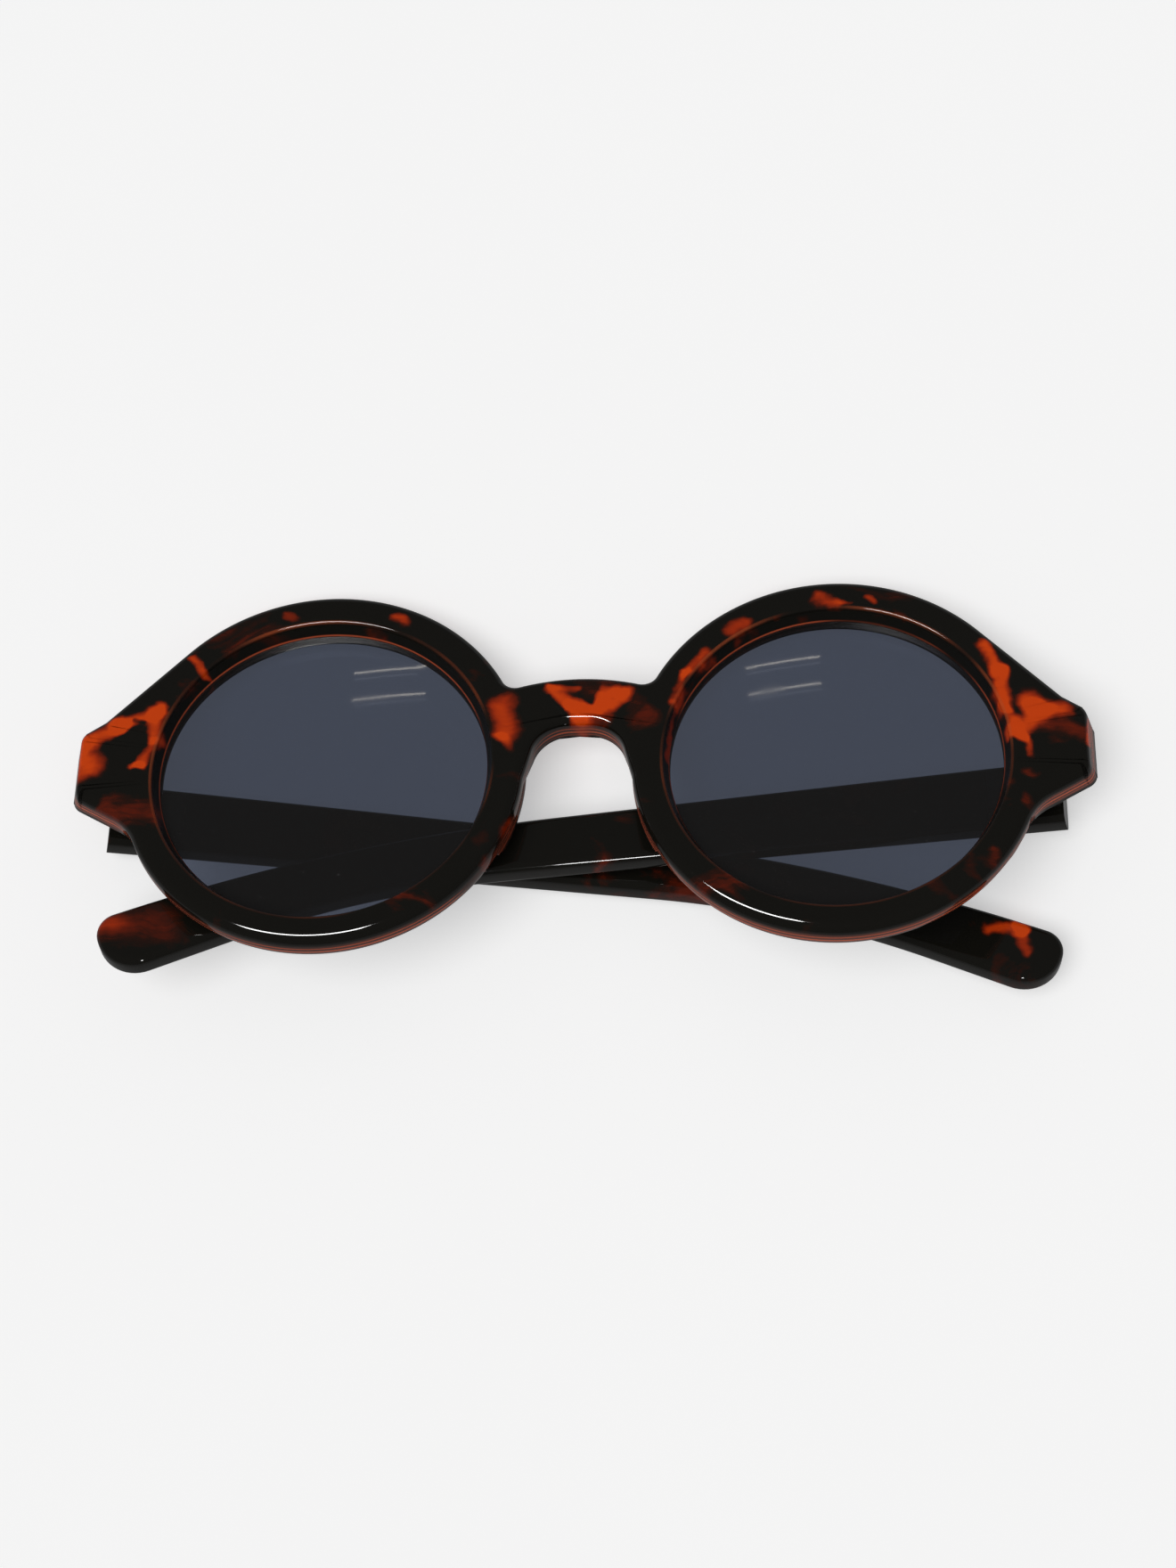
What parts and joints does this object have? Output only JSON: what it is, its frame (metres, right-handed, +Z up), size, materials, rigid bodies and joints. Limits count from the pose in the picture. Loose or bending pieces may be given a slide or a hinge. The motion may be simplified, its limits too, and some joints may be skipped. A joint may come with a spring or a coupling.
{
  "type": "round sunglasses",
  "caption": "Round sunglasses with a moulded tortoiseshell front, grey tinted lenses and temples that fold on barrel hinges.",
  "frame": {"origin": "middle of the bounding box's underside, on the table that the folded sunglasses lie on", "axes": "+Z up from the table, +X towards the wearer's left end piece, +Y towards the brow edge, which lies low because the front leans on its folded temples"},
  "size_m": [0.144, 0.0592, 0.0238],
  "materials": {
    "frame_plastic": "polished dark tortoiseshell with amber patches",
    "temple_plastic": "polished dark tortoiseshell",
    "lens_tint": "polished, blue-grey tint",
    "hinge_metal": "satin",
    "screw_metal": "bright"
  },
  "bodies": {
    "front": {"front_frame": "frame_plastic", "lens_left": "lens_tint", "lens_right": "lens_tint", "hinge_front_leaf_left": "hinge_metal", "hinge_front_leaf_right": "hinge_metal", "hinge_screw_left": "screw_metal", "hinge_screw_right": "screw_metal"},
    "temple_left": {"temple_left": "temple_plastic", "hinge_temple_leaf_left": "hinge_metal"},
    "temple_right": {"temple_right": "temple_plastic", "hinge_temple_leaf_right": "hinge_metal"}
  },
  "joints": [
    {"name": "temple_left_hinge", "type": "hinge", "parent": "front", "child": "temple_left", "pos_m": [0.06602, -0.00091, 0.00864], "axis": [-0.0042, -0.9399, 0.3415], "range_deg": [0, 91.5]},
    {"name": "temple_right_hinge", "type": "hinge", "parent": "front", "child": "temple_right", "pos_m": [-0.06598, -0.00091, 0.007], "axis": [0.0042, 0.9399, -0.3415], "range_deg": [0, 86.8]}
  ]
}
